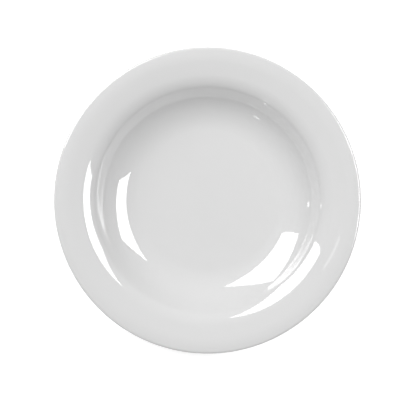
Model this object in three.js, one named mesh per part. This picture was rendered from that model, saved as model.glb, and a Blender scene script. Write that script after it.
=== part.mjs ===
// A wide-rimmed soup and pasta bowl in glazed white melamine, in millimetres, +Z up.
// The origin is the middle of the foot ring, on the surface that the bowl stands on.
// The bowl is pressed in one mould in two shots: first the white body with its foot ring,
// then a thin glaze over the food side, which ends at the mould's parting line on the rim's edge.
import * as THREE from "three";

// Rim: its overall size, and its section from the well's mouth to the edge.
const RIM_DIAMETER = 230;
const OVERALL_HEIGHT = 31.5;
const RIM_WIDTH = 27.3;
const RIM_SLOPE = THREE.MathUtils.degToRad(13);
const RIM_DROOP = THREE.MathUtils.degToRad(2);
const CREST_INSET = 4.5;
const CREST_RADIUS = 40;
const RIM_THICKNESS = 3;

// Edge of the rim: rounded above the parting line, and eased below it.
const EDGE_TOP_RADIUS = 2.4;
const EDGE_BOTTOM_RADIUS = 0.8;
const PARTING_DROP = 2.1;

// Well: the sloping wall, and the rounds that join it to the rim and to the floor.
const WALL_RUN = 19.3;
const SHOULDER_RADIUS = 17;
const HEEL_RADIUS = 36;
const WALL_THICKNESS = 3.2;
const FLOOR_THICKNESS = 3.5;

// Foot ring: it stands just inside the edge of the flat floor.
const FOOT_HEIGHT = 4;
const FOOT_WIDTH = 3.2;
const FOOT_INSET = 1.8;
const FOOT_DRAFT = THREE.MathUtils.degToRad(14);
const FOOT_EDGE_RADIUS = 0.7;
const FOOT_ROOT_RADIUS = 1;

// Glaze: the second shot, and the room left for the bond line under it.
const GLAZE_THICKNESS = 0.2;
const BOND_GAP = 0.03;

// Facets: how far a chord may cut inside its arc, in millimetres and as a share of the
// arc's radius, and the flats round the bowl.
const CHORD_TOLERANCE = 0.08;
const COARSEST_CHORD = 0.15;
const SEGMENTS = 64;

// Outlines are lists of corners in the plane of radius and height, each with its own round.
// The facets of a round come from the size that it was drawn at, so that outlines sunk from
// one another keep facets side by side.
const corner = (radius, height, round = 0) =>
  ({ at: new THREE.Vector2(radius, height), round, drawn: round });

// Where two lines meet, each given by a point and a direction.
function crossing(p, along, q, across) {
  const reach = q.clone().sub(p).cross(across) / along.cross(across);
  return p.clone().addScaledVector(along, reach);
}

// The outline moved sideways into the wall, each leg by its own depth.
// A round that bends round the wall's far side grows by the depth, and the others shrink by it.
function sunk(outline, depths) {
  const legs = outline.slice(1).map((end, i) => {
    const along = end.at.clone().sub(outline[i].at).normalize();
    const inward = new THREE.Vector2(along.y, -along.x);
    return { start: outline[i].at.clone().addScaledVector(inward, depths[i]), along };
  });
  const first = { at: legs[0].start, round: 0 };
  const last = legs.at(-1);
  const end = outline.at(-1).at.distanceTo(outline.at(-2).at);
  const middle = outline.slice(1, -1).map(({ round, drawn }, i) => {
    const [before, after] = [legs[i], legs[i + 1]];
    const bendsUp = before.along.cross(after.along) > 0;
    const depth = (depths[i] + depths[i + 1]) / 2;
    return {
      at: crossing(before.start, before.along, after.start, after.along),
      round: Math.max(0, bendsUp ? round + depth : round - depth),
      drawn,
    };
  });
  return [first, ...middle, { at: last.start.clone().addScaledVector(last.along, end), round: 0 }];
}

// How many facets an arc takes to stay within the chord tolerance.
const facets = (radius, turn) =>
  Math.ceil(turn / (2 * Math.acos(1 - Math.min(CHORD_TOLERANCE / radius, COARSEST_CHORD))));

// The points of an outline with its corners rounded. A round is held to the legs that it runs between.
function rounded(outline) {
  const legs = outline.slice(1).map((end, i) => end.at.clone().sub(outline[i].at));
  const turns = outline.map((_, i) => (legs[i - 1] && legs[i] ? legs[i - 1].angleTo(legs[i]) : 0));
  const setbacks = outline.map(({ round }, i) => round * Math.tan(turns[i] / 2));
  const shares = legs.map((leg, i) => {
    const taken = setbacks[i] + setbacks[i + 1];
    return taken > leg.length() ? leg.length() / taken : 1;
  });
  return outline.flatMap(({ at, round, drawn }, i) => {
    if (setbacks[i] === 0) return [at.clone()];
    const held = Math.min(shares[i - 1], shares[i]);
    const along = legs[i - 1].clone().normalize();
    const side = Math.sign(along.cross(legs[i]));
    const start = at.clone().addScaledVector(along, -setbacks[i] * held);
    const spoke = new THREE.Vector2(along.y, -along.x).multiplyScalar(side * round * held);
    const centre = start.clone().sub(spoke);
    const steps = facets(drawn, turns[i]);
    return Array.from({ length: steps + 1 }, (_, k) =>
      start.clone().rotateAround(centre, (side * turns[i] * k) / steps));
  });
}

// The food side, from the axis out to the parting line. The crest is the top of the whole bowl.
const rimRadius = RIM_DIAMETER / 2;
const floorHeight = FOOT_HEIGHT + FLOOR_THICKNESS;
const mouthRadius = rimRadius - RIM_WIDTH;
const heelRadius = mouthRadius - WALL_RUN;
const crest = new THREE.Vector2(rimRadius - CREST_INSET, OVERALL_HEIGHT);
const rimRise = new THREE.Vector2(Math.cos(RIM_SLOPE), Math.sin(RIM_SLOPE));
const rimFall = new THREE.Vector2(Math.cos(RIM_DROOP), -Math.sin(RIM_DROOP));
const crestArc = (angle) =>
  new THREE.Vector2(Math.sin(angle), Math.cos(angle) - 1).multiplyScalar(CREST_RADIUS).add(crest);
const crestCorner = crossing(crestArc(-RIM_SLOPE), rimRise, crestArc(RIM_DROOP), rimFall);
const upright = new THREE.Vector2(0, 1);
const shoulderCorner = crossing(crestCorner, rimRise, new THREE.Vector2(mouthRadius, 0), upright);
const edgeCorner = crossing(crestCorner, rimFall, new THREE.Vector2(rimRadius, 0), upright);
const partingHeight = edgeCorner.y - PARTING_DROP;
const foodSide = [
  corner(0, floorHeight),
  corner(heelRadius, floorHeight, HEEL_RADIUS),
  corner(shoulderCorner.x, shoulderCorner.y, SHOULDER_RADIUS),
  corner(crestCorner.x, crestCorner.y, CREST_RADIUS),
  corner(edgeCorner.x, edgeCorner.y, EDGE_TOP_RADIUS),
  corner(rimRadius, partingHeight),
];
const evenly = (depth) => foodSide.slice(1).map(() => depth);

// A profile that starts and ends on the axis, turned into a solid that stands along +Z.
function turned(name, profile, material) {
  const mesh = new THREE.Mesh(new THREE.LatheGeometry(profile, SEGMENTS), material);
  mesh.name = name;
  mesh.rotation.x = Math.PI / 2;
  return mesh;
}

// The body: underside and foot ring out to the edge, then back under the glaze.
function makeBody() {
  const backDepths = [FLOOR_THICKNESS, WALL_THICKNESS, RIM_THICKNESS, RIM_THICKNESS, 0];
  const [, heelBack, shoulderBack, crestBack, edgeBack] = sunk(foodSide, backDepths);
  const wallTilt = shoulderCorner.clone().sub(foodSide[1].at).angle();
  const flatFloorRadius = heelRadius - HEEL_RADIUS * Math.tan(wallTilt / 2);
  const taper = FOOT_HEIGHT * Math.tan(FOOT_DRAFT);
  const footOuter = flatFloorRadius - FOOT_INSET;
  const footInner = footOuter - FOOT_WIDTH - 2 * taper;
  const underside = [
    corner(0, FOOT_HEIGHT),
    corner(footInner, FOOT_HEIGHT, FOOT_ROOT_RADIUS),
    corner(footInner + taper, 0, FOOT_EDGE_RADIUS),
    corner(footOuter - taper, 0, FOOT_EDGE_RADIUS),
    corner(footOuter, FOOT_HEIGHT, FOOT_ROOT_RADIUS),
    heelBack,
    shoulderBack,
    crestBack,
    corner(edgeBack.at.x, edgeBack.at.y, EDGE_BOTTOM_RADIUS),
    corner(rimRadius, partingHeight - BOND_GAP),
  ];
  const underGlaze = sunk(foodSide, evenly(GLAZE_THICKNESS + BOND_GAP));
  underGlaze.at(-1).at.y -= BOND_GAP;
  const profile = [...rounded(underside), ...rounded(underGlaze).reverse()];
  const melamine = new THREE.MeshStandardMaterial({ color: 0xdcdcdc, roughness: 0.3, metalness: 0 });
  return turned("moulded_body", profile, melamine);
}

// The glaze: an even skin over the whole food side.
function makeGlaze() {
  const profile = [
    ...rounded(sunk(foodSide, evenly(GLAZE_THICKNESS))),
    ...rounded(foodSide).reverse(),
  ];
  const glaze = new THREE.MeshStandardMaterial({ color: 0xe0e0e0, roughness: 0.06, metalness: 0 });
  return turned("glaze_overlay", profile, glaze);
}

const bowl = new THREE.Group();
bowl.name = "rimmed_bowl";
bowl.add(makeBody(), makeGlaze());

export default bowl;
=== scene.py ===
# A wide-rimmed soup bowl in glazed white melamine, seen from above on white paper.
import math

import bmesh
import bpy
from mathutils import Matrix, Vector


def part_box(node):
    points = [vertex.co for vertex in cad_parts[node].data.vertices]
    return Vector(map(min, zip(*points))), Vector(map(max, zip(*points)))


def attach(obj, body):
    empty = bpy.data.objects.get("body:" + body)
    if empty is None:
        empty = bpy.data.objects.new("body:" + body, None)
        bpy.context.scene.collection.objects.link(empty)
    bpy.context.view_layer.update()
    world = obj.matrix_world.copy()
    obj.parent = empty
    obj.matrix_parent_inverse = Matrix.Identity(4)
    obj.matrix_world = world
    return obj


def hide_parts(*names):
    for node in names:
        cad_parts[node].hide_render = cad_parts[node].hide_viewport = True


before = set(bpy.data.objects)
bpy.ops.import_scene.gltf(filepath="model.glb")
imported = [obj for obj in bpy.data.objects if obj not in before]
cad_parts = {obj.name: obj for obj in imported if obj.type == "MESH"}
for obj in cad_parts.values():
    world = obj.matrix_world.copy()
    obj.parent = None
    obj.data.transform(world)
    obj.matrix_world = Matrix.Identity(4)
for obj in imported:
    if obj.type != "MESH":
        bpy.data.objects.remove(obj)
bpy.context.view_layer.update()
scene = bpy.context.scene

# Moulded body: rim, well and foot ring in one piece of white melamine.
# It is pressed hot in a steel mould, so the food side is smooth and the underside keeps
# a satin face with faint turning marks. The foot ring is scuffed where it slides on tables.
rim_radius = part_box("glaze_overlay")[1][0]
rim_top = 0.0315
rim_thickness = 0.003
edge_top_round = 0.0019
edge_bottom_round = 0.0008
parting_drop = 0.0021
mouth_radius = 0.0865
wall_thickness = 0.0032
floor_thickness = 0.0035
foot_width = 0.0032
foot_inset = 0.0018
foot_draft = math.radians(14)
foot_edge_round = 0.0007
foot_root_round = 0.001
glaze_thickness = 0.0002
bond_gap = 0.00003

# The fineness of the turned faces, with hidden faces coarser than those that show.
flats_round = 288
least_steps = 6
slope_step = 0.6
length_step = 0.0008
rim_edge_steps = 16
small_edge_steps = 8
foot_root_steps = 6
least_hidden_steps = 2
underside_coarseness = 2
bond_coarseness = 4
crease_angle = math.radians(40)
merge_within = 0.000002

# The food side as arcs that run into one another.
# Each row gives a radius from the axis and the slope there in degrees.
food_slopes = [
    (0.0530, 0.0),  # the floor's edge
    (0.0710, 30.4),  # the heel
    (0.0790, 45.3),  # the foot of the wall
    (0.0802, 46.0),  # the wall begins to swell
    (0.0817, 46.3),  # the fullest part of the wall
    (0.0832, 46.2),  # the swell dies away
    (0.0843, 45.7),  # the top of the wall
    (0.0872, 30.7),  # the shoulder
    (0.0947, 11.6),  # the inner rim
    (0.1035, 10.0),  # the middle of the rim
    (0.1105, 0.0),  # the crest
    (0.1124, -2.0),  # the outer rim
]


# A corner of an outline in the plane of radius and height, its round and the steps in that round.
def corner(radius, height, round_to=0.0, steps=1):
    return {"at": Vector((radius, height)), "round": round_to, "steps": steps}


# Where two lines meet, each given by a point and a direction.
def crossing(p, along, q, across):
    reach = (q - p).cross(across) / along.cross(across)
    return p + along * reach


# The direction of a slope given in degrees.
def heading(slope):
    return Vector((math.cos(math.radians(slope)), math.sin(math.radians(slope))))


# The outline moved into the wall, each leg by its own depth, with coarser rounds.
def sunk(outline, depths, coarseness):
    legs = []
    for start, end, depth in zip(outline, outline[1:], depths):
        along = (end["at"] - start["at"]).normalized()
        legs.append((start["at"] + Vector((along.y, -along.x)) * depth, along))
    made = [corner(*legs[0][0])]
    for i, bend in enumerate(outline[1:-1]):
        (p, before), (q, after) = legs[i], legs[i + 1]
        depth = (depths[i] + depths[i + 1]) / 2
        growth = depth if before.cross(after) > 0 else -depth
        steps = max(least_hidden_steps, round(bend["steps"] / coarseness))
        made.append(corner(*crossing(p, before, q, after), max(bend["round"] + growth, 0), steps))
    last_leg = (outline[-1]["at"] - outline[-2]["at"]).length
    return made + [corner(*(legs[-1][0] + legs[-1][1] * last_leg))]


# The corners of a chain of arcs that starts at a height, and the point where it ends.
def arc_corners(slopes, height):
    made = []
    at = Vector((slopes[0][0], height))
    for (near, slope), (far, next_slope) in zip(slopes, slopes[1:]):
        before, after = heading(slope), heading(next_slope)
        bend = (far - near) / (after.y - before.y)
        end = at + Vector((far - near, bend * (before.x - after.x)))
        turn_steps = round(abs(next_slope - slope) / slope_step)
        steps = max(least_steps, turn_steps, round((far - near) / length_step))
        made.append(corner(*crossing(at, before, end, after), abs(bend), steps))
        at = end
    return made, at


upright = Vector((0, 1))
up_to_crest = food_slopes[:-1]
floor_height = rim_top - arc_corners(up_to_crest, 0)[1].y
foot_height = floor_height - floor_thickness
food_arcs, edge_from = arc_corners(food_slopes, floor_height)
edge_at = crossing(edge_from, heading(food_slopes[-1][1]), Vector((rim_radius, 0)), upright)
parting_height = edge_at.y - parting_drop
food_side = [
    corner(0, floor_height),
    *food_arcs,
    corner(*edge_at, edge_top_round, rim_edge_steps),
    corner(rim_radius, parting_height),
]

back_depths = [floor_thickness]
for arc_end, _ in food_slopes[1:]:
    back_depths.append(wall_thickness if arc_end < mouth_radius else rim_thickness)
back_depths.append(0)
back = sunk(food_side, back_depths, underside_coarseness)
foot_taper = foot_height * math.tan(foot_draft)
foot_outer = food_slopes[0][0] - foot_inset
foot_inner = foot_outer - foot_width - 2 * foot_taper
underside = [
    corner(0, foot_height),
    corner(foot_inner, foot_height, foot_root_round, foot_root_steps),
    corner(foot_inner + foot_taper, 0, foot_edge_round, small_edge_steps),
    corner(foot_outer - foot_taper, 0, foot_edge_round, small_edge_steps),
    corner(foot_outer, foot_height, foot_root_round, foot_root_steps),
    *back[1:-2],
    corner(*back[-2]["at"], edge_bottom_round, small_edge_steps),
    corner(rim_radius, parting_height - bond_gap),
]
food_legs = len(food_side) - 1
under_glaze = sunk(food_side, [glaze_thickness + bond_gap] * food_legs, bond_coarseness)
under_glaze[-1]["at"].y -= bond_gap
body_outline = underside + under_glaze[::-1]


# One socket of a node tree.
# Sums, products and the like add Math nodes, and node() adds any other node.
class Wire:
    def __init__(self, tree, socket):
        self.tree = tree
        self.socket = socket

    def node(self, kind, settings, inputs, output=0):
        made = self.tree.nodes.new(kind)
        for name, value in settings.items():
            setattr(made, name, value)
        for key, value in inputs.items():
            if isinstance(value, Wire):
                self.tree.links.new(value.socket, made.inputs[key])
            else:
                made.inputs[key].default_value = value
        return Wire(self.tree, made.outputs[output])

    def maths(self, operation, first, second=0.0):
        return self.node("ShaderNodeMath", {"operation": operation}, {0: first, 1: second})

    def __add__(self, other):
        return self.maths("ADD", self, other)

    def __sub__(self, other):
        return self.maths("SUBTRACT", self, other)

    def __rsub__(self, other):
        return self.maths("SUBTRACT", other, self)

    def __mul__(self, other):
        return self.maths("MULTIPLY", self, other)

    def __truediv__(self, other):
        return self.maths("DIVIDE", self, other)

    def __rtruediv__(self, other):
        return self.maths("DIVIDE", other, self)

    __radd__ = __add__
    __rmul__ = __mul__

    def fade(self, start, end, low=0.0, high=1.0):
        return self.node(
            "ShaderNodeMapRange", {"interpolation_type": "SMOOTHSTEP"},
            {"Value": self, "From Min": start, "From Max": end, "To Min": low, "To Max": high})


# The tree that rounds the corners of an outline and turns it about the upright axis.
turning = bpy.data.node_groups.new("turned_outline", "GeometryNodeTree")
ports = turning.interface
ports.new_socket("Outline", in_out="INPUT", socket_type="NodeSocketGeometry")
flats_port = ports.new_socket("Flats Round", in_out="INPUT", socket_type="NodeSocketInt")
crease_port = ports.new_socket("Crease Angle", in_out="INPUT", socket_type="NodeSocketFloat")
finish_port = ports.new_socket("Finish", in_out="INPUT", socket_type="NodeSocketMaterial")
ports.new_socket("Turned", in_out="OUTPUT", socket_type="NodeSocketGeometry")
given = turning.nodes.new("NodeGroupInput")
drawn, flats, crease, finish = [Wire(turning, socket) for socket in given.outputs[:4]]
round_to = drawn.node("GeometryNodeInputNamedAttribute", {"data_type": "FLOAT"}, {"Name": "round"})
steps = drawn.node("GeometryNodeInputNamedAttribute", {"data_type": "INT"}, {"Name": "steps"})
path = drawn.node("GeometryNodeMeshToCurve", {}, {"Mesh": drawn})
section = drawn.node(
    "GeometryNodeFilletCurve", {"mode": "POLY"},
    {"Curve": path, "Count": steps, "Radius": round_to, "Limit Radius": True})
count = drawn.node("GeometryNodeAttributeDomainSize", {"component": "CURVE"}, {"Geometry": section})
sheet = drawn.node("GeometryNodeMeshGrid", {}, {"Vertices X": count, "Vertices Y": flats + 1})
index = drawn.node("GeometryNodeInputIndex", {}, {})
row = index.maths("FLOOR", (index + 0.5) / (flats + 1))
turn = (index - row * (flats + 1)) * (2 * math.pi) / flats
place = drawn.node("GeometryNodeInputPosition", {}, {})
spot = drawn.node(
    "GeometryNodeSampleIndex", {"data_type": "FLOAT_VECTOR", "domain": "POINT"},
    {"Geometry": section, "Value": place, "Index": row})
radius = drawn.node("ShaderNodeSeparateXYZ", {}, {"Vector": spot}, "X")
height = drawn.node("ShaderNodeSeparateXYZ", {}, {"Vector": spot}, "Z")
swept = drawn.node(
    "ShaderNodeCombineXYZ", {},
    {"X": radius * turn.maths("COSINE", turn), "Y": radius * turn.maths("SINE", turn), "Z": height})
turned = drawn.node("GeometryNodeSetPosition", {}, {"Geometry": sheet, "Position": swept})
closed = drawn.node(
    "GeometryNodeMergeByDistance", {}, {"Geometry": turned, "Distance": merge_within})
bend = drawn.node("GeometryNodeInputMeshEdgeAngle", {}, {}, "Unsigned Angle")
soft = drawn.maths("LESS_THAN", bend, crease)
smooth = drawn.node(
    "GeometryNodeSetShadeSmooth", {"domain": "FACE"}, {"Geometry": closed, "Shade Smooth": True})
creased = drawn.node(
    "GeometryNodeSetShadeSmooth", {"domain": "EDGE"}, {"Geometry": smooth, "Shade Smooth": soft})
whole = drawn.node("GeometryNodeRealizeInstances", {}, {"Geometry": creased})
finished = drawn.node("GeometryNodeSetMaterial", {}, {"Geometry": whole, "Material": finish})
result = turning.nodes.new("NodeGroupOutput")
turning.links.new(finished.socket, result.inputs[0])


# A piece turned from its outline, as a plain closed mesh that faces outwards.
def turned_piece(name, outline, material):
    chain = bpy.data.meshes.new(name + "_outline")
    spots = [(spot["at"].x, 0, spot["at"].y) for spot in outline]
    chain.from_pydata(spots, [(i, i + 1) for i in range(len(spots) - 1)], [])
    rounds = chain.attributes.new("round", "FLOAT", "POINT")
    counts = chain.attributes.new("steps", "INT", "POINT")
    for i, spot in enumerate(outline):
        rounds.data[i].value = spot["round"]
        counts.data[i].value = spot["steps"]
    piece = bpy.data.objects.new(name, chain)
    scene.collection.objects.link(piece)
    modifier = piece.modifiers.new("turned", "NODES")
    modifier.node_group = turning
    modifier[flats_port.identifier] = flats_round
    modifier[crease_port.identifier] = crease_angle
    modifier[finish_port.identifier] = material
    depsgraph = bpy.context.evaluated_depsgraph_get()
    mesh = bpy.data.meshes.new_from_object(piece.evaluated_get(depsgraph))
    piece.modifiers.remove(modifier)
    piece.data = mesh
    mesh.name = name
    shaped = bmesh.new()
    shaped.from_mesh(mesh)
    bmesh.ops.recalc_face_normals(shaped, faces=shaped.faces)
    shaped.to_mesh(mesh)
    shaped.free()
    bpy.data.meshes.remove(chain)
    return piece


# A new material's shader node, and a wire from the piece's own coordinates in metres.
def start_finish(name):
    material = bpy.data.materials.new(name)
    material.use_nodes = True
    tree = material.node_tree
    coordinates = tree.nodes.new("ShaderNodeTexCoord")
    return material, tree.nodes["Principled BSDF"], Wire(tree, coordinates.outputs["Object"])


# Soft cloudy variation from 0 to 1, with the given number of clouds in a metre.
def clouds(where, scale, detail=2.0):
    return where.node(
        "ShaderNodeTexNoise", {"noise_dimensions": "3D"},
        {"Vector": where, "Scale": scale, "Detail": detail, "Roughness": 0.55})


# Distance from the bowl's axis in metres.
def from_axis(where):
    flat = where.node("ShaderNodeVectorMath", {"operation": "MULTIPLY"}, {0: where, 1: (1, 1, 0)})
    return where.node("ShaderNodeVectorMath", {"operation": "LENGTH"}, {0: flat}, "Value")


# A mix of two colours, each given as red, green and blue.
def blended(share, first, second):
    sides = {"Factor": share}
    for key, value in ((6, first), (7, second)):
        sides[key] = value if isinstance(value, Wire) else (*value, 1)
    return share.node("ShaderNodeMix", {"data_type": "RGBA"}, sides, 2)


body_dark = (0.672, 0.672, 0.668)
body_light = (0.716, 0.716, 0.714)
scuffed = (0.5, 0.495, 0.48)
scuff_height = 0.0007
turning_pitch = 0.0011
body_mottle_scale = 60
body_speckle_scale = 900
scuff_scale = 420
satin_roughness = 0.24
grain_depth = 0.00004
body_finish, body_shader, where = start_finish("satin_melamine")
out = from_axis(where)
up = where.node("ShaderNodeSeparateXYZ", {}, {"Vector": where}, "Z")
mottle = clouds(where, body_mottle_scale)
speckle = clouds(where, body_speckle_scale, 3)
white = blended(mottle * 0.6 + speckle * 0.4, body_dark, body_light)
contact = up.fade(0.0, scuff_height, 1, 0)
scuff = contact * clouds(where, scuff_scale, 4).fade(0.42, 0.62)
body_colour = blended(scuff * 0.55, white, scuffed)
ripple = out.maths("SINE", out * (2 * math.pi / turning_pitch))
grain = speckle * 0.7 + ripple * 0.12
body_roughness = mottle * 0.1 + speckle * 0.06 + contact * 0.22 + satin_roughness
relief = where.node(
    "ShaderNodeBump", {}, {"Strength": 0.12, "Distance": grain_depth, "Height": grain})
body_links = body_finish.node_tree.links
body_links.new(body_colour.socket, body_shader.inputs["Base Color"])
body_links.new(body_roughness.socket, body_shader.inputs["Roughness"])
body_links.new(relief.socket, body_shader.inputs["Normal"])
body_shader.inputs["IOR"].default_value = 1.55

body = turned_piece("bowl_body", body_outline, body_finish)
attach(body, "root")
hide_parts("moulded_body")

# Glaze: a thin, glass-smooth melamine film over the food side and the rim's rounded edge.
# It is cured on in a second press, so it mirrors the lights crisply, with a trace of
# flow in its face and hair-fine marks from cutlery on the floor of the well.
glaze_back = sunk(food_side, [glaze_thickness] * food_legs, bond_coarseness)
glaze_outline = glaze_back + food_side[::-1]

glaze_dark = (0.688, 0.688, 0.688)
glaze_light = (0.712, 0.712, 0.712)
glaze_mottle_scale = 45
glaze_speckle_scale = 520
flow_scale = 160
flow_depth = 0.00002
marks_in_metre = 2600
marked_out_to = 0.03
unmarked_from = 0.056
polished_roughness = 0.03
glaze_finish, glaze_shader, where = start_finish("glossy_glaze")
out = from_axis(where)
mottle = clouds(where, glaze_mottle_scale)
speckle = clouds(where, glaze_speckle_scale, 3)
glaze_colour = blended(mottle * 0.65 + speckle * 0.35, glaze_dark, glaze_light)
stirred = where.node(
    "ShaderNodeCombineXYZ", {}, {"X": out * marks_in_metre, "Y": mottle * 3, "Z": 0.0})
marks = clouds(stirred, 1.0, 1).fade(0.62, 0.8) * out.fade(marked_out_to, unmarked_from, 1, 0)
glaze_roughness = mottle * 0.012 + marks * 0.05 + polished_roughness
flow = clouds(where, flow_scale, 1) * 0.6 + speckle * 0.1
relief = where.node(
    "ShaderNodeBump", {}, {"Strength": 0.05, "Distance": flow_depth, "Height": flow})
glaze_links = glaze_finish.node_tree.links
glaze_links.new(glaze_colour.socket, glaze_shader.inputs["Base Color"])
glaze_links.new(glaze_roughness.socket, glaze_shader.inputs["Roughness"])
glaze_links.new(relief.socket, glaze_shader.inputs["Normal"])
glaze_shader.inputs["IOR"].default_value = 1.5
glaze_shader.inputs["Coat Weight"].default_value = 1.0
glaze_shader.inputs["Coat Roughness"].default_value = 0.035
glaze_shader.inputs["Coat IOR"].default_value = 1.65

glaze = turned_piece("bowl_glaze", glaze_outline, glaze_finish)
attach(glaze, "root")
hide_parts("glaze_overlay")

# Paper: the white sheet that the bowl stands on, wide enough for every view.
# It is matt and keeps the bowl's shadow. Round the bowl it glows white, a painted pool of light
# that fades farther out to the room's pale grey, so that a white bowl stands out from it in the low
# views too.
paper_half = 4.0
paper_drop = 0.0001
white_out_to = 0.2
dim_from = 0.34
grey_from = 1.0
paper_white = (0.8, 0.8, 0.8)
room_grey = (0.82, 0.82, 0.82)
pool_glow_strength = 0.6
far_glow = 0.1
signs = [(-1, -1), (1, -1), (1, 1), (-1, 1)]
sheet_corners = [(x * paper_half, y * paper_half, -paper_drop) for x, y in signs]
paper_mesh = bpy.data.meshes.new("paper")
paper_mesh.from_pydata(sheet_corners, [], [(0, 1, 2, 3)])
paper = bpy.data.objects.new("paper", paper_mesh)
scene.collection.objects.link(paper)
paper_finish, paper_shader, where = start_finish("matt_paper")
paper_shader.inputs["Base Color"].default_value = (*paper_white, 1)
paper_shader.inputs["Roughness"].default_value = 0.9
paper_shader.inputs["Specular IOR Level"].default_value = 0.1


# Whether a ray comes from the camera, or from it by way of a mirror or a clear piece.
def seen_ray(wire):
    names = ("Is Camera Ray", "Is Glossy Ray", "Is Transmission Ray")
    first, second, third = [wire.node("ShaderNodeLightPath", {}, {}, name) for name in names]
    return wire.maths("MAXIMUM", first, wire.maths("MAXIMUM", second, third))


out = from_axis(where)
matt = Wire(paper_finish.node_tree, paper_shader.outputs["BSDF"])
# Painted pool of light: a white glow on the paper round the bowl, which fades out with distance
# from it.
painted_light_pool = where.node("ShaderNodeEmission", {}, {"Color": (1, 1, 1, 1), "Strength": pool_glow_strength})
faint_glow = where.node("ShaderNodeEmission", {}, {"Color": (1, 1, 1, 1), "Strength": far_glow})
grey_glow = where.node("ShaderNodeEmission", {}, {"Color": (*room_grey, 1), "Strength": 1.0})
dim = out.fade(white_out_to, dim_from)
glow = where.node("ShaderNodeMixShader", {}, {0: dim, 1: painted_light_pool, 2: faint_glow})
matt_and_painted_pool = where.node("ShaderNodeAddShader", {}, {0: matt, 1: glow})
away = out.fade(dim_from, grey_from)
look = where.node("ShaderNodeMixShader", {}, {0: away, 1: matt_and_painted_pool, 2: grey_glow})
surface = where.node("ShaderNodeMixShader", {}, {0: seen_ray(where), 1: matt, 2: look})
paper_output = paper_finish.node_tree.nodes["Material Output"]
paper_finish.node_tree.links.new(surface.socket, paper_output.inputs["Surface"])
paper_mesh.materials.append(paper_finish)

# Light: two large soft boxes, one at the right and one at the left, in an even pale room.
# Their mirror images are the four white crescents in the well and on its shoulder. Three small
# lamps give the sparkles there, and a dim strip overhead gives the faint streak on the rim.
box_distance = 1.6

# Angles are in degrees, the azimuth from the top of the picture towards its left.
# Corners are in metres from the middle of the box, across it and up it.
soft_boxes = {
    "right_box": {
        "azimuth": 277.0, "zenith": 40.0, "radiance": 6.7,
        "corners": [(0.37, -0.48), (-0.51, -0.17), (-0.43, 0.51), (0.57, 0.30)]},
    "left_box": {
        "azimuth": 50.5, "zenith": 54.0, "radiance": 5.1,
        "corners": [(0.61, -0.27), (-0.27, -0.93), (-0.74, 0.58), (0.31, 0.95)]},
    "low_lamp": {
        "azimuth": 91.0, "zenith": 77.0, "radiance": 3.6,
        "corners": [(0.04, -0.08), (-0.04, -0.08), (-0.04, 0.08), (0.04, 0.08)]},
    "far_lamp": {
        "azimuth": 150.4, "zenith": 65.4, "radiance": 2.8,
        "corners": [(0.05, -0.04), (-0.05, -0.04), (-0.05, 0.04), (0.05, 0.04)]},
    "level_lamp": {
        "azimuth": 150.3, "zenith": 86.9, "radiance": 14.0,
        "corners": [(0.03, -0.03), (-0.03, -0.03), (-0.03, 0.03), (0.03, 0.03)]},
    "dim_strip": {
        "azimuth": 82.0, "zenith": 12.9, "radiance": 1.2,
        "corners": [(0.05, -0.01), (-0.05, -0.01), (-0.05, 0.01), (0.05, 0.01)]},
}
rim_middle = Vector((0, 0, rim_top))
for name, box in soft_boxes.items():
    azimuth, zenith = math.radians(box["azimuth"]), math.radians(box["zenith"])
    level = Vector((math.cos(azimuth), math.sin(azimuth), 0)) * math.sin(zenith)
    towards = level + Vector((0, 0, math.cos(zenith)))
    side = Vector((0, 0, 1)).cross(towards).normalized()
    rise = towards.cross(side)
    centre = rim_middle + towards * box_distance
    cloth = bpy.data.meshes.new(name)
    cloth.from_pydata([centre + side * x + rise * y for x, y in box["corners"]], [], [(3, 2, 1, 0)])
    cloth_finish, cloth_shader, _ = start_finish(name + "_cloth")
    cloth_shader.inputs["Base Color"].default_value = (0, 0, 0, 1)
    cloth_shader.inputs["Specular IOR Level"].default_value = 0.0
    cloth_shader.inputs["Emission Color"].default_value = (1, 1, 1, 1)
    cloth_shader.inputs["Emission Strength"].default_value = box["radiance"]
    cloth.materials.append(cloth_finish)
    lamp = bpy.data.objects.new(name, cloth)
    lamp.visible_camera = False
    lamp.visible_shadow = False
    scene.collection.objects.link(lamp)

room_light = (0.21, 0.21, 0.21)
room = bpy.data.worlds.new("room")
room.use_nodes = True
scene.world = room
room_tree = room.node_tree
air = room_tree.nodes["Background"]
air.inputs["Strength"].default_value = 1.0
ray = room_tree.nodes.new("ShaderNodeLightPath")
air_colour = blended(Wire(room_tree, ray.outputs["Is Camera Ray"]), room_light, room_grey)
room_tree.links.new(air_colour.socket, air.inputs["Color"])

# Camera: above the bowl and nearly square to it, as in the photograph.
# It stands a little towards the top of the picture, as the places of the crescents show.
camera_distance = 1.4
lean_right = math.radians(0.76)
lean_up = math.radians(3.14)
picture = 400
rim_pixels = 307.7
middle = (207.3, 201.2)
sensor_width = 36
lens = bpy.data.cameras.new("camera")
lens.sensor_width = sensor_width
lens.lens = sensor_width * camera_distance / (picture * 2 * rim_radius / rim_pixels)
lens.shift_x = (picture / 2 - middle[0]) / picture
lens.shift_y = (middle[1] - picture / 2) / picture
camera = bpy.data.objects.new("camera", lens)
picture_top = Vector((1, 0, 0))
picture_right = Vector((0, -1, 0))
lean = picture_right * math.tan(lean_right) + picture_top * math.tan(lean_up)
back_axis = (Vector((0, 0, 1)) + lean).normalized()
right_axis = picture_top.cross(back_axis).normalized()
camera_axes = Matrix((right_axis, back_axis.cross(right_axis), back_axis)).transposed()
camera_spot = Matrix.Translation(rim_middle + back_axis * camera_distance)
camera.matrix_world = camera_spot @ camera_axes.to_4x4()
scene.collection.objects.link(camera)
scene.camera = camera
scene.view_settings.view_transform = "Standard"
